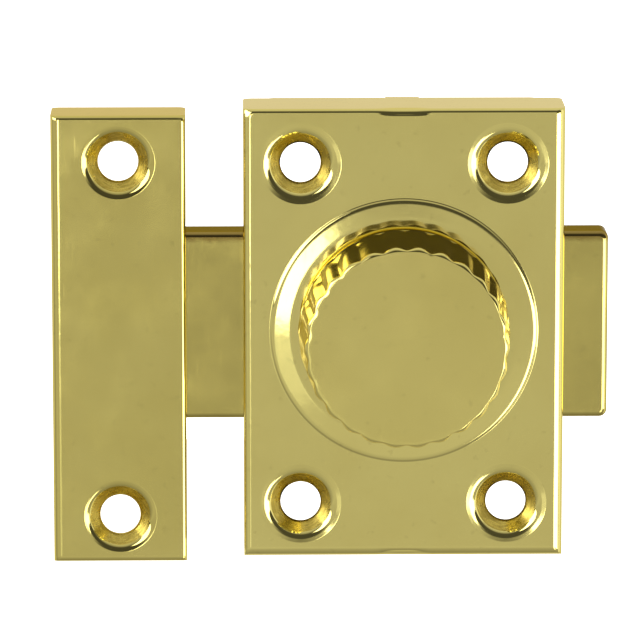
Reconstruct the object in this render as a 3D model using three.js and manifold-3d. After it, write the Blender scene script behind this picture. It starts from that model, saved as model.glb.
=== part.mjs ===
// Knob-operated rim bolt for a cupboard door, pressed from brass-plated steel sheet.
//
// Frame: +Z is up, +X points away from the keeper, and the door's face is the plane y = 0,
// so every front face looks along -Y. The origin is where the knob's axis meets the case's
// rear face, half a millimetre above the middle of the case.
// The bolt is thrown: its tip is in the keeper, and the crank pin is at its far left.
// All sizes are in millimetres.

import * as THREE from "three";
import { mergeVertices } from "three/addons/utils/BufferGeometryUtils.js";
import Module from "manifold-3d";

const wasm = await Module();
wasm.setup();

// ---- Driving dimensions ----

const SHEET = 1.0; // thickness of the pressed sheet
const GAP = 0.3; // gap between pieces that touch or slide
const OVER = 1.0; // how far a cutting tool runs past the face that it cuts
const ROUND = 24; // sides of a small round
const BIG_ROUND = 48; // sides of a large round

const CASE = { width: 42.2, height: 60, middle: -0.5, depth: 11, bend: 1.0 };
const CASE_BOTTOM = CASE.middle - CASE.height / 2;
const CASE_TOP = CASE.middle + CASE.height / 2;
const CASE_HOLES = { x: 13.6, z: 22.75 }; // half of the spacing of the screw holes
const BOSS = { foot: 17.55, shoulder: 16.9, top: 14.0, step: 0.65, rise: 1.0 };
const STAKE = { width: 6.4, depth: 0.5 }; // dent in the front edge over each tab
const TAB = 4.5; // width of the tabs that hold the back plate
const BACK_PLATE = { thickness: 1.0, corner: 4.0, inset: 0.1, screwOpening: 5.5 };

const SCREW = { hole: 2.65, cone: 3.9, mouth: 4.6, coneDepth: 1.7, holeDepth: 2.2 };

const KEEPER = { width: 17.7, height: 60, depth: 8, left: -46.4, middle: -1.8, bend: 1.0 };
const KEEPER_HOLE_Z = 23.8; // half of the spacing of the keeper's screw holes
const KEEPER_WINDOW = { height: 30, front: -6.7 };

const BOLT = { left: -36, right: 27.2, bottom: -12.75, top: 12.4, front: -6.0, back: -1.4, wall: 1.2 };
const BOLT_ROUND = { corner: 1.0, edge: 0.7 };
const BOLT_WINDOW = { height: 26.4, front: -6.6 };

const CRANK = { reach: 7, hub: 5, end: 3, front: -8.9, back: -7.6 };
const THROW = 2 * CRANK.reach; // half a turn of the knob
const PIN = { radius: 1.5, tenon: 1.1, back: -3.0 };
// The pin swings by 0.21 of its reach to either side of an even slide, which the slot allows.
const CRANK_SLOT_HALF = PIN.radius + 0.21 * CRANK.reach + 0.2;
const CRANK_SLOT_END = PIN.radius + 0.4;

const GUIDE = { radius: 1.6, z: -8, front: -6.4 };
const GUIDE_SLOT_HALF = GUIDE.radius + GAP;

const KNOB = { base: 13.95, front: 13.3, flutes: 26, flute: 0.38, edge: 0.5, wall: 0.8 };
const KNOB_FRONT = -23; // front of the cap
const KNOB_SKIRT = -13.3; // back edge of the cap
const KNOB_FOOT = -12.4; // rear face of the knob
const KNOB_INSIDE = KNOB.front - 2 * KNOB.flute - KNOB.wall;
const HUB = 5.0;

const SPINDLE = { radius: 2.6, square: 3.6, end: 1.5 };
const SPINDLE_Y = { front: -20, shoulder: -9.1, step: -7.4, back: -6.65 };
const BUSH = { bore: 2.9, outside: 3.9, flange: 5.6, front: -12.9, flangeFront: -10.7, back: -10.1 };
const THRUST_WASHER = { bore: 2.9, outside: 7.0, front: -9.8, back: -9.2 };
const RIVET_WASHER = { bore: 1.8, outside: 4.2, front: -7.3, back: -6.75 };
const WAVE_WASHER = { bore: 4.9, outside: 7.3, middle: -12.7, thickness: 0.3, wave: 0.2, waves: 3 };
const KNOB_RECESS = { radius: 7.8, floor: -13.4 }; // room for the wave washer

const SPRING = { thickness: 0.4, front: -4.9, back: -1.9, nose: 11.9 };
const NOTCH = { half: 2.1, floor: 11.1, front: -5.2 };
const POST = { x: 12, z: 15.6, radius: 1.2, head: 1.7, headBack: -5.2, front: -5.7 };

// ---- Solids ----

function solidFrom(geometry) {
  const bare = new THREE.BufferGeometry();
  bare.setAttribute("position", geometry.getAttribute("position"));
  bare.setIndex(geometry.index);
  const merged = mergeVertices(bare, 1e-4);
  const vertProperties = new Float32Array(merged.getAttribute("position").array);
  const corners = Array.from(merged.index.array);
  const kept = [];
  for (let i = 0; i < corners.length; i += 3) {
    const [a, b, c] = corners.slice(i, i + 3);
    if (a !== b && b !== c && c !== a) {
      kept.push(a, b, c);
    }
  }
  const close = (triangles) =>
    new wasm.Manifold(new wasm.Mesh({ numProp: 3, vertProperties, triVerts: new Uint32Array(triangles) }));
  const made = close(kept);
  return made.volume() > 0 ? made : close(kept.reverse());
}

function geometryFrom(solid) {
  const { vertProperties, triVerts, numProp } = solid.getMesh();
  const geometry = new THREE.BufferGeometry();
  geometry.setAttribute("position", new THREE.BufferAttribute(vertProperties, numProp));
  geometry.setIndex(new THREE.BufferAttribute(triVerts, 1));
  geometry.computeVertexNormals();
  return geometry;
}

function join(solids) {
  return solids.reduce((whole, solid) => whole.add(solid));
}

function cut(solid, tools) {
  return tools.reduce((left, tool) => left.subtract(tool), solid);
}

// A box given by its lowest and highest corners.
function box(low, high) {
  const size = high.map((value, i) => value - low[i]);
  const geometry = new THREE.BoxGeometry(...size);
  geometry.translate(...low.map((value, i) => value + size[i] / 2));
  return solidFrom(geometry);
}

// An outline in X and Z, extruded from y = front back to y = back. A bevel rounds both ends.
function prism(shape, front, back, bevel = 0, bevelSegments = 3) {
  const geometry = new THREE.ExtrudeGeometry(shape, {
    depth: back - front - 2 * bevel,
    bevelEnabled: bevel > 0,
    bevelSize: bevel,
    bevelThickness: bevel,
    bevelOffset: -bevel,
    bevelSegments,
    curveSegments: 6,
  });
  geometry.rotateX(Math.PI / 2);
  geometry.translate(0, back - bevel, 0);
  return solidFrom(geometry);
}

// A solid turned about an axis along Y at (x, z). The profile lists [radius, y].
function turned(profile, sides = ROUND, x = 0, z = 0) {
  const points = profile.map(([radius, y]) => new THREE.Vector2(radius, y));
  const geometry = new THREE.LatheGeometry(points, sides);
  geometry.translate(x, 0, z);
  return solidFrom(geometry);
}

function rod(radius, front, back, x = 0, z = 0, sides = ROUND) {
  return turned([[0, front], [radius, front], [radius, back], [0, back]], sides, x, z);
}

function washer({ bore, outside, front, back }, sides = ROUND) {
  return turned([[bore, front], [outside, front], [outside, back], [bore, back], [bore, front]], sides);
}

// ---- Outlines ----

function rectangle(left, right, bottom, top) {
  const shape = new THREE.Shape();
  shape.moveTo(left, bottom);
  shape.lineTo(right, bottom);
  shape.lineTo(right, top);
  shape.lineTo(left, top);
  return shape;
}

function roundedRectangle(left, right, bottom, top, corner) {
  const shape = new THREE.Shape();
  shape.absarc(right - corner, bottom + corner, corner, -Math.PI / 2, 0);
  shape.absarc(right - corner, top - corner, corner, 0, Math.PI / 2);
  shape.absarc(left + corner, top - corner, corner, Math.PI / 2, Math.PI);
  shape.absarc(left + corner, bottom + corner, corner, Math.PI, 1.5 * Math.PI);
  return shape;
}

function polygon(points) {
  return new THREE.Shape(points.map(([x, z]) => new THREE.Vector2(x, z)));
}

// The outline of a strip that is bent along a line of points.
function strip(points, thickness) {
  const line = points.map(([x, z]) => new THREE.Vector2(x, z));
  const side = (sign) =>
    line.map((point, i) => {
      const before = line[Math.max(i - 1, 0)];
      const after = line[Math.min(i + 1, line.length - 1)];
      const along = after.clone().sub(before).normalize();
      return new THREE.Vector2(-along.y, along.x).multiplyScalar((sign * thickness) / 2).add(point);
    });
  return new THREE.Shape([...side(1), ...side(-1).reverse()]);
}

function flutedOutline(radius) {
  const samples = 4 * KNOB.flutes;
  const points = [];
  for (let i = 0; i < samples; i += 1) {
    const angle = (2 * Math.PI * i) / samples;
    const reach = radius - KNOB.flute + KNOB.flute * Math.cos(KNOB.flutes * angle);
    points.push([reach * Math.cos(angle), reach * Math.sin(angle)]);
  }
  return polygon(points);
}

// ---- Pressed sheet: shells and screw dimples ----

// A shallow box folded from sheet, open at the back, with its front edges bent round.
function foldedShell(left, right, bottom, top, front, back, bend) {
  const outside = prism(rectangle(left, right, bottom, top), front, back + 2 * bend, bend);
  const inside = prism(
    rectangle(left + SHEET, right - SHEET, bottom + SHEET, top - SHEET),
    front + SHEET,
    back + 2 * bend + OVER,
  );
  const behind = box(
    [left - OVER, back, bottom - OVER],
    [right + OVER, back + 3 * bend + OVER, top + OVER],
  );
  return cut(outside, [inside, behind]);
}

// The sheet pressed back round a countersunk screw head.
function dimple(front, x, z) {
  return turned(
    [
      [0, front + SHEET / 2],
      [SCREW.mouth + 0.6, front + SHEET / 2],
      [SCREW.mouth + 0.4, front + SHEET],
      [SCREW.cone + 0.4, front + SHEET + 0.5],
      [SCREW.hole + SHEET, front + SCREW.holeDepth],
      [0, front + SCREW.holeDepth],
    ],
    ROUND,
    x,
    z,
  );
}

function countersink(front, x, z) {
  return turned(
    [
      [0, front - OVER],
      [SCREW.mouth, front - OVER],
      [SCREW.mouth, front],
      [SCREW.cone + 0.25, front + 0.15],
      [SCREW.cone, front + 0.45],
      [SCREW.hole, front + SCREW.coneDepth],
      [SCREW.hole, front + SCREW.holeDepth + OVER],
      [0, front + SCREW.holeDepth + OVER],
    ],
    ROUND,
    x,
    z,
  );
}

function withDimples(shell, front, places) {
  const raised = join([shell, ...places.map(([x, z]) => dimple(front, x, z))]);
  return cut(raised, places.map(([x, z]) => countersink(front, x, z)));
}

// ---- Case ----

const CASE_SCREWS = [-1, 1].flatMap((across) =>
  [-1, 1].map((up) => [across * CASE_HOLES.x, CASE.middle + up * CASE_HOLES.z]),
);
const CASE_ENDS = [
  { up: -1, z: CASE_BOTTOM },
  { up: 1, z: CASE_TOP },
];

// A box across the middle of the case's top or bottom, between two heights.
function endBox(halfWidth, front, back, a, b) {
  return box([-halfWidth, front, Math.min(a, b)], [halfWidth, back, Math.max(a, b)]);
}

function bossProfile(offset) {
  const front = -CASE.depth + offset;
  return [
    [BOSS.foot - offset, front],
    [BOSS.shoulder - offset, front - BOSS.step],
    [BOSS.top, front - BOSS.rise],
    [0, front - BOSS.rise],
  ];
}

function caseCover() {
  const front = -CASE.depth;
  const side = CASE.width / 2;
  const flangeEnd = -BACK_PLATE.thickness - GAP;
  const shell = foldedShell(-side, side, CASE_BOTTOM, CASE_TOP, front, flangeEnd, CASE.bend);
  const behindFace = front + SHEET / 2;
  const boss = turned([[0, behindFace], [BOSS.foot, behindFace], ...bossProfile(0)], BIG_ROUND);
  const inside = front + SHEET + OVER;
  const bossInside = turned([[0, inside], [BOSS.foot - SHEET, inside], ...bossProfile(SHEET)], BIG_ROUND);
  const tabs = CASE_ENDS.map(({ up, z }) => endBox(TAB / 2, flangeEnd - SHEET, 0, z - up * SHEET, z));
  const stakes = CASE_ENDS.map(({ z }) =>
    endBox(STAKE.width / 2, front - OVER, front + STAKE.depth, z - STAKE.depth, z + STAKE.depth),
  );
  const boltWindow = box(
    [-side - OVER, BOLT_WINDOW.front, -BOLT_WINDOW.height / 2],
    [side + OVER, OVER, BOLT_WINDOW.height / 2],
  );
  const bushHole = rod(BUSH.outside + GAP, front - 2 * OVER, front + 2 * OVER);
  const cover = withDimples(join([shell, boss, ...tabs]), front, CASE_SCREWS);
  return cut(cover, [bossInside, ...stakes, boltWindow, bushHole]);
}

function backPlate() {
  const { inset, corner, thickness, screwOpening } = BACK_PLATE;
  const side = CASE.width / 2 - inset;
  const front = -thickness;
  const outline = roundedRectangle(-side, side, CASE_BOTTOM + inset, CASE_TOP - inset, corner);
  const plate = prism(outline, front, 0);
  const through = (radius, [x, z]) => rod(radius, front - OVER, OVER, x, z);
  const notches = CASE_ENDS.map(({ up, z }) =>
    endBox(TAB / 2 + GAP, front - OVER, OVER, z - up * (SHEET + GAP), z + up * OVER),
  );
  return cut(plate, [
    ...notches,
    ...CASE_SCREWS.map((place) => through(screwOpening, place)),
    ...[-POST.x, POST.x].map((x) => through(POST.radius + GAP, [x, POST.z])),
    through(GUIDE.radius + GAP, [0, GUIDE.z]),
  ]);
}

function guidePin() {
  return rod(GUIDE.radius, GUIDE.front, 0, 0, GUIDE.z, 16);
}

function springPost(x) {
  const profile = [
    [0, POST.front],
    [POST.head, POST.front],
    [POST.head, POST.headBack],
    [POST.radius, POST.headBack],
    [POST.radius, 0],
    [0, 0],
  ];
  return turned(profile, 16, x, POST.z);
}

// A bent leaf whose nose drops into a notch in the bolt's top edge at each end of the throw.
function detentSpring() {
  const half = [
    [-POST.x - 2.4, 14.6],
    [-POST.x - 2.2, 16.6],
    [-POST.x - 1.2, 17.3],
    [-POST.x + 1.2, 17.3],
    [-2.2, 13.6],
  ];
  const other = half.map(([x, z]) => [-x, z]).reverse();
  return prism(strip([...half, [0, SPRING.nose], ...other], SPRING.thickness), SPRING.front, SPRING.back);
}

// ---- Bolt ----

function bolt() {
  const { left, right, bottom, top, front, back, wall } = BOLT;
  const { corner, edge } = BOLT_ROUND;
  const outside = prism(roundedRectangle(left, right, bottom, top, corner), front, back + 2 * edge, edge);
  const hollow = prism(
    rectangle(left + wall, right - wall, bottom + wall, top - wall),
    front + wall,
    back + 2 * OVER,
  );
  const behind = box([left - OVER, back, bottom - OVER], [right + OVER, back + 3 * OVER, top + OVER]);
  const crankSlot = prism(
    roundedRectangle(
      -CRANK.reach - CRANK_SLOT_HALF,
      -CRANK.reach + CRANK_SLOT_HALF,
      -CRANK_SLOT_END,
      CRANK.reach + CRANK_SLOT_END,
      1.2,
    ),
    front - OVER,
    front + wall + OVER,
  );
  const guideSlot = prism(
    roundedRectangle(
      -THROW - GUIDE_SLOT_HALF,
      GUIDE_SLOT_HALF,
      GUIDE.z - GUIDE_SLOT_HALF,
      GUIDE.z + GUIDE_SLOT_HALF,
      GUIDE_SLOT_HALF - 0.01,
    ),
    front - OVER,
    front + wall + OVER,
  );
  const notches = [0, -THROW].map((x) =>
    prism(
      polygon([
        [x - NOTCH.half, top + OVER],
        [x - NOTCH.half, top],
        [x, NOTCH.floor],
        [x + NOTCH.half, top],
        [x + NOTCH.half, top + OVER],
      ]),
      NOTCH.front,
      back + OVER,
    ),
  );
  return cut(outside, [hollow, behind, crankSlot, guideSlot, ...notches]);
}

// ---- Knob and crank ----

function knobCap() {
  // The skirt is a little wider than the front, so each ring of flutes is scaled to its height.
  const geometry = new THREE.ExtrudeGeometry(flutedOutline(KNOB.front), {
    depth: KNOB_SKIRT - KNOB_FRONT,
    bevelEnabled: true,
    bevelSize: KNOB.edge,
    bevelThickness: KNOB.edge,
    bevelOffset: -KNOB.edge,
    bevelSegments: 2,
  });
  geometry.rotateX(Math.PI / 2);
  geometry.translate(0, KNOB_SKIRT + KNOB.edge, 0);
  const places = geometry.getAttribute("position");
  for (let i = 0; i < places.count; i += 1) {
    const down = (places.getY(i) - KNOB_FRONT) / (KNOB_SKIRT - KNOB_FRONT);
    const spread = 1 + Math.max(down, 0) * (KNOB.base / KNOB.front - 1);
    places.setX(i, places.getX(i) * spread);
    places.setZ(i, places.getZ(i) * spread);
  }
  const around = KNOB.base + OVER;
  const behind = box([-around, KNOB_SKIRT, -around], [around, KNOB_SKIRT + 2 * OVER, around]);
  const hollow = rod(KNOB_INSIDE, KNOB_FRONT + KNOB.wall, KNOB_SKIRT + 2 * OVER, 0, 0, BIG_ROUND);
  return cut(solidFrom(geometry), [behind, hollow]);
}

function knobBase() {
  const seat = KNOB_INSIDE - GAP;
  const inner = KNOB_SKIRT - 1.6;
  return turned(
    [
      [KNOB_RECESS.radius, KNOB_FOOT],
      [KNOB.base - 0.5, KNOB_FOOT],
      [KNOB.base - 0.15, KNOB_FOOT - 0.3],
      [KNOB.base - 0.15, KNOB_SKIRT + GAP],
      [seat, KNOB_SKIRT + GAP],
      [seat, inner],
      [HUB, inner],
      [HUB, KNOB_FRONT + KNOB.wall + GAP],
      [0, KNOB_FRONT + KNOB.wall + GAP],
      [0, SPINDLE_Y.front - GAP],
      [SPINDLE.radius + GAP, SPINDLE_Y.front - GAP],
      [SPINDLE.radius + GAP, KNOB_RECESS.floor],
      [KNOB_RECESS.radius, KNOB_RECESS.floor],
      [KNOB_RECESS.radius, KNOB_FOOT],
    ],
    BIG_ROUND,
  );
}

function spindle() {
  const half = SPINDLE.square / 2;
  const shaft = rod(SPINDLE.radius, SPINDLE_Y.front, SPINDLE_Y.shoulder);
  const square = box([-half, SPINDLE_Y.shoulder - 0.2, -half], [half, SPINDLE_Y.step, half]);
  const end = rod(SPINDLE.end, SPINDLE_Y.step - 0.2, SPINDLE_Y.back);
  return join([shaft, square, end]);
}

function waveWasher() {
  const { bore, outside, middle, thickness, wave, waves } = WAVE_WASHER;
  const low = middle - thickness / 2;
  const high = middle + thickness / 2;
  const profile = [[bore, low], [outside, low], [outside, high], [bore, high], [bore, low]];
  const points = profile.map(([radius, y]) => new THREE.Vector2(radius, y));
  const geometry = new THREE.LatheGeometry(points, BIG_ROUND);
  const places = geometry.getAttribute("position");
  for (let i = 0; i < places.count; i += 1) {
    const angle = Math.atan2(places.getZ(i), places.getX(i));
    places.setY(i, places.getY(i) + wave * Math.cos(waves * angle));
  }
  return solidFrom(geometry);
}

function spindleBush() {
  const { bore, outside, flange, front, flangeFront, back } = BUSH;
  return turned([
    [bore, front],
    [outside, front],
    [outside, flangeFront],
    [flange, flangeFront],
    [flange, back],
    [bore, back],
    [bore, front],
  ]);
}

function crankPlate() {
  const { reach, hub, end, front, back } = CRANK;
  const lean = Math.acos((hub - end) / reach); // from the arm to where its straight sides leave the rounds
  const shape = new THREE.Shape();
  shape.absarc(0, 0, hub, -Math.PI + lean, Math.PI - lean);
  shape.absarc(-reach, 0, end, Math.PI - lean, Math.PI + lean);
  const half = SPINDLE.square / 2 + GAP;
  const squareHole = box([-half, front - OVER, -half], [half, back + OVER, half]);
  const pinHole = rod(PIN.tenon + GAP, front - OVER, back + OVER, -reach);
  return cut(prism(shape, front, back), [squareHole, pinHole]);
}

function crankPin() {
  const shoulder = CRANK.back + GAP;
  const profile = [
    [0, CRANK.front],
    [PIN.tenon, CRANK.front],
    [PIN.tenon, shoulder],
    [PIN.radius, shoulder],
    [PIN.radius, PIN.back],
    [0, PIN.back],
  ];
  return turned(profile, ROUND, -CRANK.reach);
}

// ---- Keeper ----

function keeper() {
  const front = -KEEPER.depth;
  const { left, width, height, middle, bend } = KEEPER;
  const right = left + width;
  const shell = foldedShell(left, right, middle - height / 2, middle + height / 2, front, 0, bend);
  const across = left + width / 2;
  const places = [-1, 1].map((end) => [across, middle + end * KEEPER_HOLE_Z]);
  const boltWindow = box(
    [right - SHEET - 0.5, KEEPER_WINDOW.front, middle - KEEPER_WINDOW.height / 2],
    [right + OVER, OVER, middle + KEEPER_WINDOW.height / 2],
  );
  return cut(withDimples(shell, front, places), [boltWindow]);
}

// ---- Materials and assembly ----

function metal(color, roughness) {
  return new THREE.MeshStandardMaterial({ color, roughness, metalness: 1 });
}

const BRASS_PLATE = () => metal(0xb5ab64, 0.12);
const ZINC_PLATE = () => metal(0xa9adb0, 0.35);
const SPRING_STEEL = () => metal(0x6d7278, 0.3);

const PIECES = [
  ["case_cover", caseCover(), BRASS_PLATE],
  ["back_plate", backPlate(), BRASS_PLATE],
  ["guide_pin", guidePin(), ZINC_PLATE],
  ["spring_post_left", springPost(-POST.x), ZINC_PLATE],
  ["spring_post_right", springPost(POST.x), ZINC_PLATE],
  ["detent_spring", detentSpring(), SPRING_STEEL],
  ["spindle_bush", spindleBush(), ZINC_PLATE],
  ["bolt", bolt(), BRASS_PLATE],
  ["knob_cap", knobCap(), BRASS_PLATE],
  ["knob_base", knobBase(), BRASS_PLATE],
  ["wave_washer", waveWasher(), SPRING_STEEL],
  ["spindle", spindle(), ZINC_PLATE],
  ["thrust_washer", washer(THRUST_WASHER), ZINC_PLATE],
  ["crank_plate", crankPlate(), ZINC_PLATE],
  ["crank_pin", crankPin(), ZINC_PLATE],
  ["rivet_washer", washer(RIVET_WASHER), ZINC_PLATE],
  ["keeper", keeper(), BRASS_PLATE],
];

const latch = new THREE.Group();
for (const [name, solid, material] of PIECES) {
  const mesh = new THREE.Mesh(geometryFrom(solid), material());
  mesh.name = name;
  latch.add(mesh);
}

export default latch;
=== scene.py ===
"""A knob-operated rim bolt in brass-plated pressed steel, with its keeper, built round its CAD frame.

Meshes are made in millimetres and scaled to metres at the end. The fronts look along -Y, +Z is up,
and the door is the plane y = 0.
"""

import math

import bmesh
import bpy
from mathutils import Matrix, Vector
from mathutils.geometry import delaunay_2d_cdt


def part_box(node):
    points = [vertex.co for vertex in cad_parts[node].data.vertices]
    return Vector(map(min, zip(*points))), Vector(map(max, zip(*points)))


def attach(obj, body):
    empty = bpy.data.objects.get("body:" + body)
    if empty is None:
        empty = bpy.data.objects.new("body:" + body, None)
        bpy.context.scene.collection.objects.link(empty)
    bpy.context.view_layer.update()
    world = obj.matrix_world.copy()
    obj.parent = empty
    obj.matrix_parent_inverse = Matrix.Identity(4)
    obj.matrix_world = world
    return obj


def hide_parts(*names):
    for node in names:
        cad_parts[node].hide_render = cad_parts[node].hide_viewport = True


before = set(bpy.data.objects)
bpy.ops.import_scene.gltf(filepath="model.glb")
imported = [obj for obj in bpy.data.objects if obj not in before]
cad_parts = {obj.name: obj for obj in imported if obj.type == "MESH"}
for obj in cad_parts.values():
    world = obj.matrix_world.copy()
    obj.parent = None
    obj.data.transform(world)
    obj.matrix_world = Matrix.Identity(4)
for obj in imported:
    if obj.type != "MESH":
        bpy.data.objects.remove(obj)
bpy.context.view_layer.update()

MM = 0.001
WELD = 0.002  # vertices closer than this, in mm, are one
BIG_ROUND, ROUND, SMALL_ROUND = 192, 112, 64  # vertices round a circle


def box_mm(node):
    low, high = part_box(node)
    return [value / MM for value in low], [value / MM for value in high]


# ---- Profiles and outlines, in millimetres ----


def steps(start, end, count):
    return [start + (end - start) * i / count for i in range(count + 1)]


def smooth(t):
    t = min(max(t, 0.0), 1.0)
    return t * t * (3 - 2 * t)


def rectangle(left, right, bottom, top):
    return [(left, bottom), (right, bottom), (right, top), (left, top)]


def circle(x, z, radius, count):
    turn = 2 * math.pi / count
    return [(x + radius * math.cos(i * turn), z + radius * math.sin(i * turn)) for i in range(count)]


def bent_in(radius, back):
    """How far a quarter bend of this outer radius is from its full width, this far behind its front."""
    left = max(radius - back, 0.0)
    return radius - math.sqrt(radius * radius - left * left)


def rounded(points, radius, count=6):
    """A closed outline with each corner rounded, as far as its sides allow."""
    made = []
    for i, corner in enumerate(points):
        corner = Vector(corner)
        before = Vector(points[i - 1]) - corner
        after = Vector(points[(i + 1) % len(points)]) - corner
        size = radius[i] if isinstance(radius, (list, tuple)) else radius
        if size <= 0:
            made.append(tuple(corner))
            continue
        half = before.angle(after) / 2
        reach = min(size / math.tan(half), 0.49 * before.length, 0.49 * after.length)
        first, last = corner + before.normalized() * reach, corner + after.normalized() * reach
        centre = corner + (before.normalized() + after.normalized()).normalized() * reach / math.cos(half)
        start = first - centre
        sweep = start.angle_signed(last - centre)
        for t in steps(0, 1, count):
            angle = -sweep * t
            turned = (
                start.x * math.cos(angle) - start.y * math.sin(angle),
                start.x * math.sin(angle) + start.y * math.cos(angle),
            )
            made.append((centre.x + turned[0], centre.y + turned[1]))
    return made


def divided(points, spacing):
    """A closed outline with its long sides divided."""
    made = []
    for i, start in enumerate(points):
        end = points[(i + 1) % len(points)]
        count = max(1, round(math.dist(start, end) / spacing))
        made += [
            (start[0] + (end[0] - start[0]) * k / count, start[1] + (end[1] - start[1]) * k / count)
            for k in range(count)
        ]
    return made


def heights(radii, slope):
    """[(radius, height)] of a turned profile, from its slope in degrees at each radius."""
    profile, height = [(radii[0], 0.0)], 0.0
    for outer, inner in zip(radii, radii[1:]):
        height += (outer - inner) * math.tan(math.radians(slope((outer + inner) / 2)))
        profile.append((inner, height))
    return profile


# ---- Skins: patches that are welded, thickened and edged ----


class Skin:
    def __init__(self):
        self.points = []
        self.faces = []
        self.zones = []

    def rows(self, rows, closed=True, zone=0, skip=None):
        """Quads between rows of points. skip(row, column) leaves a quad out."""
        start, wide = len(self.points), len(rows[0])
        for row in rows:
            self.points += row
        for r in range(len(rows) - 1):
            for c in range(wide if closed else wide - 1):
                if skip and skip(r, c):
                    continue
                here, there = start + r * wide, start + (r + 1) * wide
                following = (c + 1) % wide
                self.faces.append((here + c, here + following, there + following, there + c))
                self.zones.append(zone(r) if callable(zone) else zone)

    def flat(self, outline, holes, place, zone=0):
        """Triangles that fill an outline round its holes. place(a, b) gives a point in space."""
        loops = [outline, *holes]
        points = [Vector(p) for loop in loops for p in loop]
        edges, start = [], 0
        for loop in loops:
            edges += [(start + i, start + (i + 1) % len(loop)) for i in range(len(loop))]
            start += len(loop)
        made, _, triangles, *_ = delaunay_2d_cdt(points, edges, [], 0, 1e-7)
        first = len(self.points)
        self.points += [place(p.x, p.y) for p in made]
        for triangle in triangles:
            middle = sum((made[i] for i in triangle), Vector((0, 0))) / 3
            if inside(middle, outline) and not any(inside(middle, hole) for hole in holes):
                self.faces.append(tuple(first + i for i in triangle))
                self.zones.append(zone)

    def mesh(self):
        """One bmesh with its vertices welded and its front faces looking along -Y."""
        bm = bmesh.new()
        made = [bm.verts.new(point) for point in self.points]
        for face, zone in zip(self.faces, self.zones):
            corners = [made[i] for i in face]
            if len({tuple(round(v, 4) for v in corner.co) for corner in corners}) == len(corners):
                bm.faces.new(corners).material_index = zone
        bmesh.ops.remove_doubles(bm, verts=bm.verts, dist=WELD)
        loose = [v for v in bm.verts if not v.link_faces]
        bmesh.ops.delete(bm, geom=loose, context="VERTS")
        bmesh.ops.recalc_face_normals(bm, faces=bm.faces)
        bm.faces.ensure_lookup_table()
        front = min(bm.faces, key=lambda face: face.calc_center_median().y)
        if front.normal.y > 0:
            bmesh.ops.reverse_faces(bm, faces=bm.faces)
        return bm


def inside(point, loop):
    """Whether a point is in a closed loop, by the crossings of a ray along +X."""
    x, z = point
    odd = False
    for i, (ax, az) in enumerate(loop):
        bx, bz = loop[i - 1]
        if (az > z) != (bz > z) and x < (bx - ax) * (z - az) / (bz - az) + ax:
            odd = not odd
    return odd


def thicken(bm, thickness):
    bmesh.ops.solidify(bm, geom=bm.faces[:], thickness=thickness)
    bmesh.ops.recalc_face_normals(bm, faces=bm.faces)


def edge_off(bm, width, keep_sharp=lambda place: False, angle=50):
    """Rounds the sharp edges of a closed mesh."""
    sharp = [
        e
        for e in bm.edges
        if len(e.link_faces) == 2
        and e.calc_face_angle(0) > math.radians(angle)
        and not keep_sharp((e.verts[0].co + e.verts[1].co) / 2)
    ]
    bmesh.ops.bevel(
        bm,
        geom=sharp,
        offset=width,
        offset_type="OFFSET",
        segments=2,
        profile=0.5,
        affect="EDGES",
        clamp_overlap=True,
    )


def make_piece(name, bm, materials, body, nodes):
    """A finished piece from a bmesh in millimetres."""
    bmesh.ops.scale(bm, vec=(MM, MM, MM), verts=bm.verts)
    for face in bm.faces:
        face.smooth = True
    data = bpy.data.meshes.new(name)
    bm.to_mesh(data)
    bm.free()
    piece = bpy.data.objects.new(name, data)
    bpy.context.scene.collection.objects.link(piece)
    for material in materials:
        data.materials.append(material)
    evened = piece.modifiers.new("even_normals", "WEIGHTED_NORMAL")
    evened.mode = "FACE_AREA"
    evened.weight = 60
    evened.keep_sharp = True
    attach(piece, body)
    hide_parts(*nodes)


# ---- Materials ----


class Nodes:
    """Short ways to add linked nodes to a tree."""

    def __init__(self, tree):
        self.nodes = tree.nodes
        self.links = tree.links

    def ramp(self, factor, low, high, to_low=0.0, to_high=1.0, kind="SMOOTHSTEP"):
        node = self.nodes.new("ShaderNodeMapRange")
        node.interpolation_type = kind
        for name, value in (("From Min", low), ("From Max", high), ("To Min", to_low), ("To Max", to_high)):
            node.inputs[name].default_value = value
        self.links.new(factor, node.inputs["Value"])
        return node.outputs["Result"]

    def mix(self, factor, first, second):
        """Two colours, each a socket or a tuple, mixed by a factor."""
        node = self.nodes.new("ShaderNodeMix")
        node.data_type = "RGBA"
        self.links.new(factor, node.inputs[0])
        for value, socket in ((first, node.inputs[6]), (second, node.inputs[7])):
            if isinstance(value, tuple):
                socket.default_value = (*value, 1)
            else:
                self.links.new(value, socket)
        return node.outputs[2]

    def math(self, operation, *values):
        node = self.nodes.new("ShaderNodeMath")
        node.operation = operation
        for value, socket in zip(values, node.inputs):
            if isinstance(value, (int, float)):
                socket.default_value = value
            else:
                self.links.new(value, socket)
        return node.outputs[0]


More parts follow.
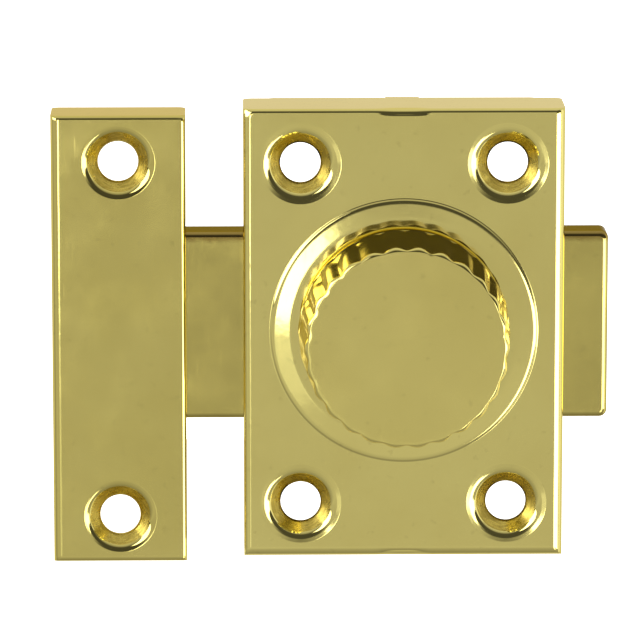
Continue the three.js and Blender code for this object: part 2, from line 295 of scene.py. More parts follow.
class Shader(Nodes):
    """A Principled material and what drives it."""

    def __init__(self, name):
        self.material = bpy.data.materials.new(name)
        self.material.use_nodes = True
        super().__init__(self.material.node_tree)
        self.principled = self.nodes["Principled BSDF"]
        self.place = self.nodes.new("ShaderNodeTexCoord").outputs["Object"]

    def set(self, **values):
        for name, value in values.items():
            self.principled.inputs[name.replace("_", " ")].default_value = value

    def scaled(self, scale):
        node = self.nodes.new("ShaderNodeMapping")
        node.inputs["Scale"].default_value = scale
        self.links.new(self.place, node.inputs["Vector"])
        return node.outputs["Vector"]

    def noise(self, scale, detail=3.0, roughness=0.5, place=None):
        """Noise from 0 to 1. scale is in patches to the metre."""
        node = self.nodes.new("ShaderNodeTexNoise")
        node.inputs["Scale"].default_value = scale
        node.inputs["Detail"].default_value = detail
        node.inputs["Roughness"].default_value = roughness
        self.links.new(place or self.place, node.inputs["Vector"])
        return node.outputs["Fac"]

    def bump(self, layers):
        """Bumps in order, each a height socket with its distance in metres."""
        normal = None
        for height, distance in layers:
            node = self.nodes.new("ShaderNodeBump")
            node.inputs["Strength"].default_value = 1.0
            node.inputs["Distance"].default_value = distance
            self.links.new(height, node.inputs["Height"])
            if normal:
                self.links.new(normal, node.inputs["Normal"])
            normal = node.outputs["Normal"]
        self.links.new(normal, self.principled.inputs["Normal"])

    def drive(self, name, socket):
        self.links.new(socket, self.principled.inputs[name])


PAINTED_SHADE = (0.30, 0.20, 0.05)  # painted shade and painted dark reflection: brown colour along the bolt's upper and lower edges
PAINTED_SHADE_COVER, PAINTED_SHADE_BELOW = 0.85, 0.4  # how much of the colour the painted shade covers, and how much of that it has at the lower edge
PAINTED_SHADE_FADE, PAINTED_SHADE_UNEVEN = 0.0009, 0.0008  # in metres


def brass_plate(name, colour, deep, rough=0.075, rub=0.35, edge=(1.0, 0.9, 0.62), unshaded_heights=None):
    """Bright brass plating on polished sheet: soft tone changes, fine rubbing marks, faint orange peel.

    edge is the tint at grazing angles. The last argument gives the lowest and highest height, in metres,
    between which the colour is left as it is; past them a painted shade turns it brown.
    """
    s = Shader(name)
    s.set(Metallic=1.0, Specular_Tint=(*edge, 1))
    tone = s.ramp(s.noise(60, 4, 0.55), 0.3, 0.72)
    speck = s.ramp(s.noise(900, 2), 0.62, 0.75)
    clouded = s.mix(tone, colour, deep)
    spot = tuple(0.82 * value for value in deep)
    spotted = s.mix(s.math("MULTIPLY", speck, 0.35), clouded, spot)
    # painted shade: brown colour above the highest height and, more faintly, below the lowest
    if unshaded_heights:
        split = s.nodes.new("ShaderNodeSeparateXYZ")
        s.links.new(s.place, split.inputs[0])
        height = s.math("ADD", split.outputs[2], s.math("MULTIPLY", s.noise(500, 3), PAINTED_SHADE_UNEVEN))
        above = s.ramp(height, unshaded_heights[1], unshaded_heights[1] + PAINTED_SHADE_FADE)
        below = s.ramp(height, unshaded_heights[0], unshaded_heights[0] - PAINTED_SHADE_FADE)
        painted_shade_amount = s.math("ADD", above, s.math("MULTIPLY", below, PAINTED_SHADE_BELOW))
        painted_shade_amount = s.math("MULTIPLY", painted_shade_amount, PAINTED_SHADE_COVER)
        spotted = s.mix(painted_shade_amount, spotted, PAINTED_SHADE)
    s.drive("Base Color", spotted)
    along = s.noise(1, 2, 0.6, s.scaled((2600, 2600, 160)))
    across = s.noise(1, 2, 0.6, s.scaled((140, 2400, 2400)))
    marks = s.math("MAXIMUM", s.ramp(along, 0.6, 0.78), s.ramp(across, 0.62, 0.8))
    haze = s.ramp(s.noise(140, 3, 0.6), 0.35, 0.75, rough * 0.8, rough * 1.45)
    s.drive("Roughness", s.math("ADD", haze, s.math("MULTIPLY", marks, rough * rub)))
    s.bump([(s.noise(420, 2, 0.5), 8e-6), (s.noise(2600, 2, 0.6), 0.7e-6), (marks, -0.5e-6)])
    return s.material


def turned_cone(name, colour, deep):
    """The coined countersink: golden, with rings left by the tool."""
    s = Shader(name)
    s.set(Metallic=1.0)
    rings = s.noise(1, 3, 0.7, s.scaled((900, 7000, 900)))
    tone = s.ramp(rings, 0.3, 0.7)
    s.drive("Base Color", s.mix(tone, colour, deep))
    s.drive("Roughness", s.ramp(s.noise(700, 3, 0.6), 0.3, 0.7, 0.2, 0.38))
    s.bump([(rings, 6e-6), (s.noise(1500, 3, 0.6), 5e-6)])
    return s.material


def plated_steel(name, colour, deep, rough, grain):
    """Dull plated or blued steel with a fine drawn grain."""
    s = Shader(name)
    s.set(Metallic=1.0)
    tone = s.ramp(s.noise(260, 4, 0.6), 0.3, 0.7)
    s.drive("Base Color", s.mix(tone, colour, deep))
    lines = s.noise(1, 3, 0.6, s.scaled(grain))
    s.drive("Roughness", s.ramp(lines, 0.3, 0.7, rough * 0.8, rough * 1.3))
    s.bump([(lines, 1.5e-6), (s.noise(1800, 3, 0.6), 1.2e-6)])
    return s.material


CASE_BRASS = brass_plate("case_brass", (0.80, 0.70, 0.235), (0.76, 0.655, 0.21))
KEEPER_BRASS = brass_plate("keeper_brass", (0.71, 0.61, 0.19), (0.67, 0.57, 0.165), edge=(0.95, 0.8, 0.42))
# the bolt's brown upper and lower edges are painted shade, and its dark grazing tint is painted shade on
# its top face, which is seen edge-on
BOLT_BRASS = brass_plate("bolt_brass", (0.54, 0.455, 0.13), (0.64, 0.545, 0.155), rough=0.12, rub=0.5,
                         edge=(0.45, 0.36, 0.15), unshaded_heights=(-0.0115, 0.0112))
KNOB_BRASS = brass_plate("knob_brass", (0.79, 0.68, 0.215), (0.75, 0.64, 0.195), rough=0.09)
CONE_BRASS = turned_cone("countersink_brass", (0.76, 0.60, 0.13), (0.48, 0.36, 0.07))
ZINC = plated_steel("zinc_plate", (0.62, 0.64, 0.66), (0.50, 0.52, 0.55), 0.34, (900, 900, 900))
SPRING_STEEL = plated_steel("spring_steel", (0.20, 0.22, 0.26), (0.14, 0.15, 0.18), 0.3, (2400, 500, 2400))

# ---- Pressed boxes: the case's cover and the keeper ----

SHEET = 1.0
GUARD = [0.45, 0.22]  # flat strips kept beside each bend
FLANGE_GAP = 1.1  # the side flanges stop this far short, behind the top and bottom ones
RIM = 0.12  # rounding of sheared edges
SPACING, END_SPACING = 0.5, 0.4  # between columns, along a side and at its ends
SIDE_END = 2.6  # length of a side's ends


def rectangle_row(left, right, bottom, top, y, full):
    """A rectangular loop. Only the ends of its sides move between rows, so columns stay straight."""

    def side(low, high, full_low, full_high):
        inner_low, inner_high = full_low + SIDE_END, full_high - SIDE_END
        ends = round(SIDE_END / END_SPACING)
        middle = steps(inner_low, inner_high, round((inner_high - inner_low) / SPACING))
        return [*steps(low, inner_low, ends)[:-1], *middle, *steps(inner_high, high, ends)[1:]][:-1]

    across = side(left, right, full[0], full[1])
    up = side(bottom, top, full[2], full[3])
    back_across = side(-right, -left, -full[1], -full[0])
    down = side(-top, -bottom, -full[3], -full[2])
    loop = [(x, bottom) for x in across]
    loop += [(right, z) for z in up]
    loop += [(-x, top) for x in back_across]
    loop += [(left, -z) for z in down]
    return [(x, y, z) for x, z in loop]


def bent_rows(low, high, front, bends):
    """The rows of a box's front edges: two flat strips, and then a quarter bend on each side."""
    full = (low[0], high[0], low[2], high[2])
    deepest = max(bends)
    depths = [deepest * (1 - math.cos(0.5 * math.pi * i / 12)) for i in range(13)]
    rows = []
    for inset, back in [*((guard, 0.0) for guard in GUARD), *((0.0, back) for back in depths)]:
        left, right, bottom, top = (inset + bent_in(radius, back) for radius in bends)
        across, up = (low[0] + left, high[0] - right), (low[2] + bottom, high[2] - top)
        rows.append(rectangle_row(*across, *up, front + back, full))
    return rows


DIMPLE_DISH, DIMPLE_RIM, DIMPLE_CONE, DIMPLE_HOLE = 4.85, 4.55, 3.95, 2.65  # radii
DIMPLE_START = 0.1  # how soon a slope is reached
SINK_SLOPE, DISH_SLOPE, RIM_SLOPE, CONE_SLOPE = 7, 9.5, 46, 42  # in degrees
DIMPLE_GUARD = 0.09  # width of a flat strip kept round the sinking
DIMPLE_LIP = 0.3  # straight wall under the cone


def dimple_profile(out):
    """The (radius, depth) of the sheet round a screw hole: it sinks from out, then dish, mouth and cone."""

    def slope(radius):
        if radius > DIMPLE_RIM:
            sinking = SINK_SLOPE * smooth((out - radius) / DIMPLE_START)
            return sinking + (DISH_SLOPE - SINK_SLOPE) * smooth((DIMPLE_DISH - radius) / DIMPLE_START)
        if radius > DIMPLE_CONE:
            share = (DIMPLE_RIM - radius) / (DIMPLE_RIM - DIMPLE_CONE)
            return DISH_SLOPE + (RIM_SLOPE - DISH_SLOPE) * share
        return CONE_SLOPE

    radii = [out + DIMPLE_GUARD, out, out - 0.5 * DIMPLE_START, *steps(out - DIMPLE_START, DIMPLE_RIM, 12)]
    radii += steps(DIMPLE_RIM, DIMPLE_CONE, 9)[1:] + steps(DIMPLE_CONE, DIMPLE_HOLE, 5)[1:]
    profile = heights(radii, slope)
    hole, depth = profile[-1]
    return [*profile, (hole, depth + DIMPLE_LIP * 0.5), (hole, depth + DIMPLE_LIP)]


def add_dimple(skin, x, z, front, out):
    profile = dimple_profile(out)
    rows = []
    for radius, depth in profile:
        rows.append([(px, front + depth, pz) for px, pz in circle(x, z, radius, ROUND)])
    cone_starts = next(i for i, (radius, _) in enumerate(profile) if radius <= DIMPLE_CONE + 1e-6)
    skin.rows(rows, zone=lambda row: 1 if row >= cone_starts else 0)


BOSS_RISE = 1.0
# (radius, slope in degrees): a rounded foot, the step and its shoulder, and the ring, which levels out
# beside the knob
BOSS_SLOPES = [(17.75, 0), (17.5, 38), (17.25, 9), (16.85, 4), (15.4, 4), (14.7, 0), (13.4, 0)]
BOSS_SEAT, BOSS_SEAT_FOOT = 12.4, 13.4  # a second step, under the knob
BOSS_GUARD = 0.4  # width of the flat strip round its foot
BOSS_FLAT = 8.0  # radius of one more ring of vertices, on the flat under the knob


def boss_slope(radius):
    for (outer, start), (inner, end) in zip(BOSS_SLOPES, BOSS_SLOPES[1:]):
        if radius >= inner:
            return start + (end - start) * smooth((outer - radius) / (outer - inner))
    return 0


def boss_profile(hole):
    """The (radius, height) of the boss, from a flat strip round its foot to the bush's hole."""
    radii = [BOSS_SLOPES[0][0] + BOSS_GUARD, BOSS_SLOPES[0][0]]
    for (outer, _), (inner, _) in zip(BOSS_SLOPES, BOSS_SLOPES[1:]):
        radii += steps(outer, inner, 7)[1:]
    profile = heights(radii, boss_slope)
    ring = profile[-1][1]
    across = steps(BOSS_SEAT_FOOT, BOSS_SEAT, 8)[1:]
    for i, radius in enumerate(across):
        profile.append((radius, ring + (BOSS_RISE - ring) * smooth((i + 1) / len(across))))
    return [*profile, (BOSS_FLAT, BOSS_RISE), (hole, BOSS_RISE)]


def flange(skin, loop, axis, features, keep):
    """The flat part of one flange, from the bend's last row to its back edge.

    axis is 0 for the top and bottom flanges and 2 for the side ones. features is the back edge, as
    corners (along, y) with their rounding.
    """
    row = sorted((p for p in loop if keep(p)), key=lambda p: p[axis])
    fixed = row[0][2 - axis]
    front_edge = [(p[axis], p[1]) for p in row]
    back_edge = [corner for corner, _ in features]
    outline = [*front_edge, *back_edge]
    radii = [0] * len(front_edge) + [radius for _, radius in features]
    shaped = rounded(outline, radii)

    def place(along, y):
        return (along, y, fixed) if axis == 0 else (fixed, y, along)

    skin.flat(shaped, [], place)


STAKE_DEPTH, STAKE_SINK = 0.22, 0.11  # how far a stake mark goes back, and in from the edge
STAKE_FULL, STAKE_END = 1.0, 3.8  # from its middle, where it is full and where it ends
STAKE_EDGE, STAKE_INNER = 0.4, 1.1  # the same, inwards from the edge
STAKE_FRONT, STAKE_BACK = 0.2, 1.4  # the same, behind the front


def dent(bm, edge_z, front):
    """Presses a stake mark into the middle of a front edge."""
    side = math.copysign(1, edge_z)
    for v in bm.verts:
        across = smooth((STAKE_END - abs(v.co.x)) / (STAKE_END - STAKE_FULL))
        down = smooth((STAKE_INNER - abs(edge_z) + side * v.co.z) / (STAKE_INNER - STAKE_EDGE))
        back = smooth((front + STAKE_BACK - v.co.y) / (STAKE_BACK - STAKE_FRONT))
        v.co.z -= side * STAKE_SINK * across * down * back
        v.co.y += STAKE_DEPTH * across * down * back


def facet(bm, corner, facing, reach):
    """Flattens a front corner with a plane that faces this way. reach is how far along the top it goes."""
    normal = Vector(facing).normalized()
    corner = Vector(corner)
    limit = corner.dot(normal) - reach * abs(normal.x)
    for v in bm.verts:
        past = v.co.dot(normal) - limit
        if past > 0 and (v.co - corner).length < 4 * SHEET:
            v.co -= normal * past


def pressed_box(low, high, front, bends, back_edges, dimples, sinking, facets, hole=0.0):
    """A folded sheet box, open at the back. Returns its outer skin as a bmesh.

    bends are the outer radii of the left, right, bottom and top bends. dimples are the places of the
    screw holes, and sinking is the radius from which the sheet sinks towards each. facets are (x, z,
    facing, reach) of each front corner. hole is the radius of the boss's hole, if there is a boss.
    """
    skin = Skin()
    rows = bent_rows(low, high, front, bends)
    skin.rows(rows)
    holes = [circle(x, z, sinking + DIMPLE_GUARD, ROUND) for x, z in dimples]
    for x, z in dimples:
        add_dimple(skin, x, z, front, sinking)
    if hole:
        profile = boss_profile(hole)
        skin.rows([[(px, front - height, pz) for px, pz in circle(0, 0, radius, BIG_ROUND)]
                   for radius, height in profile])
        holes.append(circle(0, 0, profile[0][0], BIG_ROUND))
    skin.flat([(x, z) for x, _, z in rows[0]], holes, lambda x, z: (x, front, z))
    last = rows[-1]
    bottom, top = low[2] + FLANGE_GAP, high[2] - FLANGE_GAP
    for side, edge in (("bottom", low[2]), ("top", high[2])):
        flange(skin, last, 0, back_edges[side], lambda p: abs(p[2] - edge) < WELD)
    for side, edge in (("left", low[0]), ("right", high[0])):
        flange(skin, last, 2, back_edges[side], lambda p: abs(p[0] - edge) < WELD and bottom < p[2] < top)
    bm = skin.mesh()
    for x, z, facing, reach in facets:
        facet(bm, (x, front, z), facing, reach)
    return bm


def plain_edge(low, high, back, corner=1.0):
    """A flange's back edge without any notch, from its high end to its low end."""
    return [((high, back), corner), ((low, back), corner)]


def stepped_edge(low, high, back, step, step_y, corner, foot, tip):
    """A flange's back edge with a step in it, from step[0] to step[1], to a window's front or a tab's back.

    corner, foot and tip are the radii of the flange's corners, and of the step's where it starts and ends.
    """
    return [
        ((high, back), corner),
        ((step[1], back), foot),
        ((step[1], step_y), tip),
        ((step[0], step_y), tip),
        ((step[0], back), foot),
        ((low, back), corner),
    ]


def notched_edge(low, high, back, window, window_front):
    return stepped_edge(low, high, back, window, window_front, corner=0.6, foot=0.25, tip=0.5)


def tabbed_edge(low, high, back, tab, tab_back):
    return stepped_edge(low, high, back, (-tab, tab), tab_back, corner=1.2, foot=0.15, tip=0.2)


MITRE_SIDE, MITRE_BACK = 0.1, 0.6  # how far past the bend a mitre is left as folded


def at_a_mitre(low, high, front, bend):
    """A test for places in the bend of a front corner, which stay as folded."""

    def test(place):
        side = min(place.x - low[0], high[0] - place.x)
        end = min(place.z - low[2], high[2] - place.z)
        return max(side, end) < bend + MITRE_SIDE and place.y < front + bend + MITRE_BACK

    return test


CASE_BENDS = (0.9, 1.3, 1.25, 0.5)
CASE_SINKING = 5.4
CASE_MIDDLE = -0.5
CASE_HOLES = [(x, CASE_MIDDLE + z) for x in (-13.6, 13.6) for z in (-22.75, 22.75)]
TAB_HALF = 2.25
TAB_SIDE_ROOM, TAB_END_ROOM = 0.12, 0.1  # in the back plate's notches
PLATE_GAP = 0.06  # between the flanges and the back plate behind them
BUSH_HOLE = 4.2
BOLT_ROOM = 0.45  # round the bolt, where it passes through a flange


def make_case_cover():
    low, high = box_mm("case_cover")
    front = low[1] + BOSS_RISE
    back = box_mm("back_plate")[0][1] - PLATE_GAP
    bolt_low, bolt_high = box_mm("bolt")
    window = (bolt_low[2] - BOLT_ROOM, bolt_high[2] + BOLT_ROOM)
    window_front = bolt_low[1] - BOLT_ROOM
    side_edge = notched_edge(low[2] + FLANGE_GAP, high[2] - FLANGE_GAP, back, window, window_front)
    end_edge = tabbed_edge(low[0], high[0], back, TAB_HALF, high[1])
    edges = {"bottom": end_edge, "top": end_edge, "left": side_edge, "right": side_edge}
    facets = [
        (low[0], high[2], (-0.7, -1.2, 0.55), 1.3),
        (high[0], high[2], (1.0, -1.0, 0.8), 1.0),
        (low[0], low[2], (-1.0, -1.0, -1.0), 0.9),
        (high[0], low[2], (1.0, -1.0, -0.8), 1.1),
    ]
    bm = pressed_box(low, high, front, CASE_BENDS, edges, CASE_HOLES, CASE_SINKING, facets, BUSH_HOLE)
    for edge_z in (low[2], high[2]):
        dent(bm, edge_z, front)
    thicken(bm, SHEET)
    edge_off(bm, RIM, at_a_mitre(low, high, front, max(CASE_BENDS)))
    make_piece("cover", bm, [CASE_BRASS, CONE_BRASS], "case", ["case_cover"])


KEEPER_BENDS = (1.0, 0.55, 0.7, 0.5)
KEEPER_SINKING = 4.93
KEEPER_HOLE_Z = 23.8
KEEPER_WINDOW_HALF, KEEPER_WINDOW_FRONT = 15, -6.7


def make_keeper():
    low, high = box_mm("keeper")
    front, back = low[1], high[1]
    middle_x, middle_z = (low[0] + high[0]) / 2, (low[2] + high[2]) / 2
    bottom, top = low[2] + FLANGE_GAP, high[2] - FLANGE_GAP
    end_edge = plain_edge(low[0], high[0], back)
    window = (middle_z - KEEPER_WINDOW_HALF, middle_z + KEEPER_WINDOW_HALF)
    edges = {
        "bottom": end_edge,
        "top": end_edge,
        "left": plain_edge(bottom, top, back, 0.6),
        "right": notched_edge(bottom, top, back, window, KEEPER_WINDOW_FRONT),
    }
    holes = [(middle_x, middle_z + end * KEEPER_HOLE_Z) for end in (-1, 1)]
    facets = [
        (low[0], high[2], (-0.7, -1.2, 0.55), 0.9),
        (high[0], high[2], (1.0, -1.0, 0.8), 0.7),
        (low[0], low[2], (-1.0, -1.0, -1.0), 0.8),
        (high[0], low[2], (1.0, -1.0, -1.0), 0.7),
    ]
    bm = pressed_box(low, high, front, KEEPER_BENDS, edges, holes, KEEPER_SINKING, facets)
    thicken(bm, SHEET)
    edge_off(bm, RIM, at_a_mitre(low, high, front, max(KEEPER_BENDS)))
    make_piece("keeper_box", bm, [KEEPER_BRASS, CONE_BRASS], "keeper", ["keeper"])


# ---- Back plate ----

PLATE_CORNER = 4
SCREW_OPENING = 5.5
POST_PLACES, POST_HOLE = [(-12, 15.6), (12, 15.6)], 1.3
PIN_PLACE, PIN_HOLE = (0, -8), 1.7


def make_back_plate():
    low, high = box_mm("back_plate")
    notch = TAB_HALF + TAB_SIDE_ROOM
    depth = SHEET + TAB_END_ROOM
    outline = rounded(
        [
            (low[0], low[2]),
            (-notch, low[2]),
            (-notch, low[2] + depth),
            (notch, low[2] + depth),
            (notch, low[2]),
            (high[0], low[2]),
            (high[0], high[2]),
            (notch, high[2]),
            (notch, high[2] - depth),
            (-notch, high[2] - depth),
            (-notch, high[2]),
            (low[0], high[2]),
        ],
        [PLATE_CORNER, 0, 0, 0, 0, PLATE_CORNER] * 2,
        12,
    )
    holes = [circle(x, z, SCREW_OPENING, ROUND) for x, z in CASE_HOLES]
    holes += [circle(x, z, POST_HOLE, SMALL_ROUND) for x, z in POST_PLACES]
    holes.append(circle(*PIN_PLACE, PIN_HOLE, SMALL_ROUND))
    skin = Skin()
    skin.flat(divided(outline, 3), holes, lambda x, z: (x, low[1], z))
    bm = skin.mesh()
    thicken(bm, high[1] - low[1])
    edge_off(bm, RIM)
    make_piece("rear_plate", bm, [CASE_BRASS], "case", ["back_plate"])


# ---- Bolt ----

BOLT_EDGE, BOLT_CORNER, BOLT_WALL = 0.75, 1.0, 1.2
BOLT_GUARD = 0.6  # width of the flat strip beside its bend
BOLT_CREASE = 0.6  # share of its corner's radius that is left on its front
THROW = 14
NOTCH_FRONT, NOTCH_HALF = -5.2, 2.1  # of the detent's notches in its upper wall
CRANK_SLOT, CRANK_SLOT_CORNER = (-10.2, -3.8, -1.9, 8.9), 1.2  # left, right, bottom and top
GUIDE_SLOT, GUIDE_SLOT_CORNER = (-15.9, 1.9, -9.9, -6.1), 1.85


def rounded_row(low, high, inset, y, corner, count=8):
    """A rectangular loop with rounded corners, as wide as the box from low to high, less an inset."""
    points = rectangle(low[0] + inset, high[0] - inset, low[2] + inset, high[2] - inset)
    made = []
    sides = [round((high[0] - low[0]) / SPACING), round((high[2] - low[2]) / SPACING)] * 2
    arcs = rounded(points, corner, count)
    for i, pieces in enumerate(sides):
        arc = arcs[i * (count + 1) : (i + 1) * (count + 1)]
        start, end = arc[-1], arcs[((i + 1) * (count + 1)) % len(arcs)]
        made += arc
        made += [(start[0] + (end[0] - start[0]) * k / pieces, start[1] + (end[1] - start[1]) * k / pieces)
                 for k in range(1, pieces)]
    return [(x, y, z) for x, z in made]


def make_bolt():
    low, high = box_mm("bolt")
    front, back = low[1], high[1]
    skin = Skin()
    rows = [rounded_row(low, high, BOLT_EDGE + BOLT_GUARD, front, BOLT_CORNER)]
    rows.append(rounded_row(low, high, BOLT_EDGE, front, BOLT_CORNER * BOLT_CREASE))
    for i in range(1, 9):
        angle = 0.5 * math.pi * i / 8
        inset, behind = BOLT_EDGE * (1 - math.sin(angle)), BOLT_EDGE * (1 - math.cos(angle))
        corner = BOLT_CORNER * (BOLT_CREASE + (1 - BOLT_CREASE) * math.sin(angle))
        rows.append(rounded_row(low, high, inset, front + behind, corner))
    rows.append(rounded_row(low, high, 0, NOTCH_FRONT, BOLT_CORNER))
    rows.append(rounded_row(low, high, 0, back, BOLT_CORNER))

    def in_a_notch(row, column):
        x, _, z = rows[-1][column]
        near = min(abs(x), abs(x + THROW))
        return row == len(rows) - 2 and z > high[2] - 0.01 and near < NOTCH_HALF

    skin.rows(rows, skip=in_a_notch)
    crank = rounded(rectangle(*CRANK_SLOT), CRANK_SLOT_CORNER, 10)
    guide = rounded(rectangle(*GUIDE_SLOT), GUIDE_SLOT_CORNER, 16)
    skin.flat([(x, z) for x, _, z in rows[0]], [crank, guide], lambda x, z: (x, front, z))
    bm = skin.mesh()
    thicken(bm, BOLT_WALL)
    edge_off(bm, RIM)
    make_piece("bolt_bar", bm, [BOLT_BRASS], "bolt", ["bolt"])


# ---- Knob ----

FLUTES = 26
FLUTE_DEPTH = 0.4
KNOB_WALL = 0.8
KNOB_FACE, KNOB_EDGE = 13.3, 0.6  # radius of its face, and of the edge round it
KNOB_MIDDLE = 0.4  # radius of the small disc that closes its face
KNOB_RIM = 0.15  # rounding of its lower edge


def knob_row(radius, y, flute, count=FLUTES * 14):
    """A ring of the knob. Its flutes have round crests, narrow valleys and a rolled edge's small faults."""
    made = []
    for i in range(count):
        angle = 2 * math.pi * i / count
        wave = 0.5 + 0.5 * math.cos(FLUTES * angle)
        fault = 1 + 0.16 * math.sin(5 * angle + 1.0) + 0.12 * math.sin(11 * angle + 0.4)
        reach = radius - flute * fault * (1 - wave**0.7)
        made.append((reach * math.cos(angle), y, reach * math.sin(angle)))
    return made


def make_knob_cap():
    low, high = box_mm("knob_cap")
    front, back = low[1], high[1]
    foot = high[0] - 0.05
    rows = [knob_row(radius, front, 0) for radius in (KNOB_MIDDLE, 4, 8, 11, 12.2)]
    for i in range(13):
        angle = 0.5 * math.pi * i / 12
        radius = KNOB_FACE - KNOB_EDGE + KNOB_EDGE * math.sin(angle)
        y = front + KNOB_EDGE * (1 - math.cos(angle))
        rows.append(knob_row(radius, y, FLUTE_DEPTH * math.sin(angle)))
    for t in steps(0, 1, 10)[1:]:
        y = front + KNOB_EDGE + (back - front - KNOB_EDGE) * t
        flute = FLUTE_DEPTH * (1 - 0.6 * smooth((t - 0.8) / 0.2))  # shallower at the foot
        rows.append(knob_row(KNOB_FACE + (foot - KNOB_FACE) * t, y, flute))
    skin = Skin()
    skin.rows(rows)
    bm = skin.mesh()
    middle = [v for v in bm.verts if math.hypot(v.co.x, v.co.z) < KNOB_MIDDLE + 0.01]
    bmesh.ops.contextual_create(bm, geom=[e for e in bm.edges if e.is_boundary and e.verts[0] in middle])
    thicken(bm, KNOB_WALL)
    edge_off(bm, KNOB_RIM)
    make_piece("knob_shell", bm, [KNOB_BRASS], "knob", ["knob_cap"])


SEAT_ROOM = 1.06  # between the cap's wall and the part of the base that goes into it
SEAT_HEIGHT = 1.6
HUB, HUB_BORE = 5.0, 2.9  # radii
HUB_BORE_END = -20.3
BASE_HOLLOW, BASE_HOLLOW_END = 7.8, -13.4  # its radius, and how far forward it goes
FOOT_RIM = 0.1  # rounding of its edges
AXIS_GAP = 0.02  # the smallest radius: it leaves a pinhole on the axis, which the cap hides


def make_knob_base():
    low, high = box_mm("knob_base")
    foot, top, outside = high[1], low[1], high[0]
    skirt = box_mm("knob_cap")[1][1]
    ledge, seat = skirt + 0.08, KNOB_FACE - KNOB_WALL - SEAT_ROOM
    profile = [  # (radius, y) round its section
        (BASE_HOLLOW, foot),
        (outside - 0.35, foot),
        (outside - 0.08, foot - 0.22),
        (outside, foot - 0.45),
        (outside, ledge),
        (seat, ledge),
        (seat, skirt - SEAT_HEIGHT),
        (HUB, skirt - SEAT_HEIGHT),
        (HUB, top),
        (AXIS_GAP, top),
        (AXIS_GAP, HUB_BORE_END),
        (HUB_BORE, HUB_BORE_END),
        (HUB_BORE, BASE_HOLLOW_END),
        (BASE_HOLLOW, BASE_HOLLOW_END),
        (BASE_HOLLOW, foot),
    ]
    skin = Skin()
    closed = [*profile, profile[0]]
    skin.rows([[(x, y, z) for x, z in circle(0, 0, radius, BIG_ROUND)] for radius, y in closed])
    bm = skin.mesh()
    edge_off(bm, FOOT_RIM, angle=35)
    make_piece("knob_foot", bm, [KNOB_BRASS], "knob", ["knob_base"])


# ---- Camera, light and floor ----

TARGET = (-0.01095, -0.0055, 0.00044)
DISTANCE = 0.7
AZIMUTH, ELEVATION = -1.0, 10.9
LENS = 297
FLOOR_HALF, FLOOR_HEIGHT = 12, -0.3


def direction(azimuth, elevation):
    """The unit vector at these degrees to the right of, and above, straight ahead of the latch."""
    a, e = math.radians(azimuth), math.radians(elevation)
    return Vector((math.sin(a) * math.cos(e), -math.cos(a) * math.cos(e), math.sin(e)))


def make_camera():
    data = bpy.data.cameras.new("camera")
    camera = bpy.data.objects.new("camera", data)
    bpy.context.scene.collection.objects.link(camera)
    back = direction(AZIMUTH, ELEVATION)
    camera.location = Vector(TARGET) + back * DISTANCE
    camera.rotation_mode = "QUATERNION"
    camera.rotation_quaternion = (-back).to_track_quat("-Z", "Y")
    data.lens = LENS
    data.sensor_width = 36
    data.clip_start, data.clip_end = 0.01, 100
    bpy.context.scene.camera = camera


def make_floor():
    mesh = bpy.data.meshes.new("floor")
    outline = rectangle(-FLOOR_HALF, FLOOR_HALF, -FLOOR_HALF, FLOOR_HALF)
    mesh.from_pydata([(x, y, FLOOR_HEIGHT) for x, y in outline], [], [(0, 1, 2, 3)])
    floor = bpy.data.objects.new("floor", mesh)
    bpy.context.scene.collection.objects.link(floor)
    material = bpy.data.materials.new("pale_floor")
    material.use_nodes = True
    shader = material.node_tree.nodes["Principled BSDF"]
    shader.inputs["Base Color"].default_value = (0.9, 0.9, 0.9, 1)
    shader.inputs["Roughness"].default_value = 0.9
    shader.inputs["Emission Color"].default_value = (1, 1, 1, 1)
    shader.inputs["Emission Strength"].default_value = 0.9
    mesh.materials.append(material)
    floor.visible_glossy = False


def make_light(name, azimuth, elevation, distance, size, power):
    data = bpy.data.lights.new(name, "AREA")
    data.shape = "RECTANGLE"
    data.size, data.size_y = size
    data.energy = power
    light = bpy.data.objects.new(name, data)
    bpy.context.scene.collection.objects.link(light)
    back = direction(azimuth, elevation)
    light.location = back * distance
    light.rotation_mode = "QUATERNION"
    light.rotation_quaternion = back.to_track_quat("Z", "Y")
    light.visible_camera = False
    light.visible_glossy = False


# (degrees round the X axis from straight ahead, brightness): up is positive
ROOM = [
    (-180, 0.85),
    (-130, 0.85),
    (-105, 0.55),
    (-90, 0.32),
    (-34, 0.5),
    (-18, 0.66),
    (-13, 0.605),
    (-9, 0.575),
    (-2, 0.61),
    (0.8, 0.28),
    (3, 0.08),
    (38, 0.09),
    (52, 0.42),
    (75, 0.75),
    (120, 0.8),
    (180, 0.8),
]
# ((low azimuth, high azimuth, low elevation, high elevation, softness), brightness), in degrees
CARDS = [
    ((16.5, 66, -16.5, -2, 1.0), 4.5),  # white, low on the right
    ((16.5, 27, -34, -16, 1.0), 4.5),  # white, under the near end of the first
    ((74, 104, -50, 30, 3.0), 1.2),  # pale and tall, at the far right
    ((-14, -3.6, -16.5, -9.5, 0.5), 0.95),  # pale and small, low and a little to the left
    ((-9.5, -3.7, -10.4, -3.0, 0.3), 4.5),  # white and small, over the last
    ((-75, -20, 2, 32, 1.5), 4.5),  # white and large, up on the left
]
ROOM_TINT = (1.0, 0.985, 0.96)
SURROUND = 1.05  # brightness of what all but reflections see


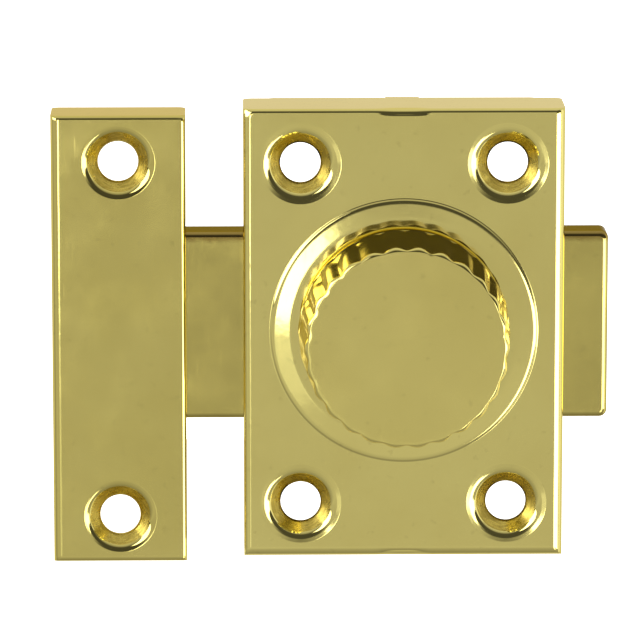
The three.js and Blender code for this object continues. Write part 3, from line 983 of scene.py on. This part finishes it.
def make_world():
    """A studio room, as the metal sees it: dim ahead and below, dark above the camera, bright overhead.

    The cards stand in front of it, each over those before it. All but reflections see plain white.
    """
    world = bpy.data.worlds.new("studio")
    bpy.context.scene.world = world
    world.use_nodes = True
    n = Nodes(world.node_tree)
    n.nodes.clear()
    split = n.nodes.new("ShaderNodeSeparateXYZ")
    n.links.new(n.nodes.new("ShaderNodeTexCoord").outputs["Generated"], split.inputs[0])
    x, y, z = split.outputs
    ahead = n.math("MULTIPLY", y, -1.0)
    round_x = n.math("DEGREES", n.math("ARCTAN2", z, ahead))
    azimuth = n.math("DEGREES", n.math("ARCTAN2", x, ahead))
    elevation = n.math("DEGREES", n.math("ARCSINE", z))

    def window(low_az, high_az, low_el, high_el, soft):
        """1 inside a card and 0 outside it."""
        sides = [
            n.ramp(azimuth, low_az - soft, low_az + soft),
            n.ramp(azimuth, high_az - soft, high_az + soft, 1.0, 0.0),
            n.ramp(elevation, low_el - soft, low_el + soft),
            n.ramp(elevation, high_el - soft, high_el + soft, 1.0, 0.0),
        ]
        return n.math("MULTIPLY", n.math("MULTIPLY", *sides[:2]), n.math("MULTIPLY", *sides[2:]))

    room = n.nodes.new("ShaderNodeValToRGB")
    n.links.new(n.ramp(round_x, -180, 180, 0, 1, "LINEAR"), room.inputs["Fac"])
    elements = room.color_ramp.elements
    elements.remove(elements[-1])
    for i, (degrees, value) in enumerate(ROOM):
        position = (degrees + 180) / 360
        element = elements[0] if i == 0 else elements.new(position)
        element.position = position
        element.color = (*(channel * value for channel in ROOM_TINT), 1)
    seen = room.outputs["Color"]
    for card, brightness in CARDS:
        seen = n.mix(window(*card), seen, (brightness,) * 3)
    studio = n.nodes.new("ShaderNodeBackground")
    n.links.new(seen, studio.inputs["Color"])
    white = n.nodes.new("ShaderNodeBackground")
    white.inputs["Color"].default_value = (1, 1, 1, 1)
    white.inputs["Strength"].default_value = SURROUND
    mix = n.nodes.new("ShaderNodeMixShader")
    n.links.new(n.nodes.new("ShaderNodeLightPath").outputs["Is Glossy Ray"], mix.inputs["Fac"])
    n.links.new(white.outputs[0], mix.inputs[1])
    n.links.new(studio.outputs[0], mix.inputs[2])
    n.links.new(mix.outputs[0], n.nodes.new("ShaderNodeOutputWorld").inputs["Surface"])


make_camera()
make_floor()
make_world()
make_light("overhead_box", 0, 70, 1.5, (1.5, 1.5), 8)

make_case_cover()
make_keeper()
make_back_plate()
make_bolt()
make_knob_cap()
make_knob_base()

for name, material in (
    ("guide_pin", ZINC),
    ("spring_post_left", ZINC),
    ("spring_post_right", ZINC),
    ("detent_spring", SPRING_STEEL),
    ("spindle_bush", ZINC),
    ("wave_washer", SPRING_STEEL),
    ("spindle", ZINC),
    ("thrust_washer", ZINC),
    ("crank_plate", ZINC),
    ("crank_pin", ZINC),
    ("rivet_washer", ZINC),
):
    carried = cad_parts[name]
    carried.data.materials.clear()
    carried.data.materials.append(material)

bpy.context.scene.view_settings.view_transform = "Standard"
